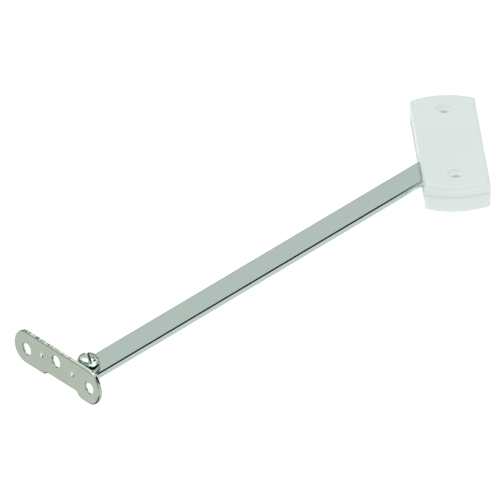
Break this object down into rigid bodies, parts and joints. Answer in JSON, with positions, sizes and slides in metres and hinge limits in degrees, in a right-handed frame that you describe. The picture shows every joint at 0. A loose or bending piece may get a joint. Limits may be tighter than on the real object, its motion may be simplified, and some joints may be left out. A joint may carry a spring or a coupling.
{
  "type": "flap stay with friction brake",
  "caption": "Braked flap stay: a flat plated bar slides through a swivelling brake in a white housing and ends in a pivoted, stamped fixing plate.",
  "frame": {"origin": "centre of the housing's back face, which is screwed to the cabinet side or frame", "axes": "+X across the housing, +Y along its length, +Z out of its front; the bar lies in a plane parallel to XY"},
  "size_m": [0.241, 0.2719, 0.0227],
  "materials": {
    "housing_plastic": "moulded white plastic, soft sheen",
    "polished_nickel": "polished nickel plate",
    "satin_nickel": "tumbled nickel plate, satin",
    "zinc_steel": "zinc plated",
    "spring_steel": "oiled spring steel",
    "carrier_plastic": "natural acetal",
    "friction_lining": "pressed friction lining"
  },
  "bodies": {
    "housing": {"housing_base": "housing_plastic", "housing_cover": "housing_plastic", "shell_screw_1": "zinc_steel", "shell_screw_2": "zinc_steel", "shell_screw_3": "zinc_steel", "shell_screw_4": "zinc_steel"},
    "brake_swivel": {"swivel_carrier": "carrier_plastic", "swivel_cap": "carrier_plastic", "carrier_screw_1": "zinc_steel", "carrier_screw_2": "zinc_steel", "brake_pad_lower": "friction_lining", "brake_pad_upper": "friction_lining", "pressure_plate": "spring_steel", "disc_spring_lower": "spring_steel", "disc_spring_upper": "spring_steel"},
    "bar": {"bar": "polished_nickel", "stop_rivet": "zinc_steel", "pivot_screw": "polished_nickel", "pivot_washer": "zinc_steel", "lower_washer": "zinc_steel", "pivot_nut": "zinc_steel"},
    "bracket": {"mounting_plate": "satin_nickel"}
  },
  "joints": [
    {"name": "brake_swivel_turn", "type": "hinge", "parent": "housing", "child": "brake_swivel", "pos_m": [0, 0, 0.0051], "axis": [0, 0, 1], "range_deg": [-100, 10]},
    {"name": "bar_slide", "type": "slide", "parent": "brake_swivel", "child": "bar", "axis": [0.7102, 0.704, 0], "range_m": [0, 0.18]},
    {"name": "bracket_pivot", "type": "hinge", "parent": "bar", "child": "bracket", "pos_m": [-0.1909, -0.18924, 0.0084], "axis": [0, 0, 1], "range_deg": [-60, 60]}
  ]
}
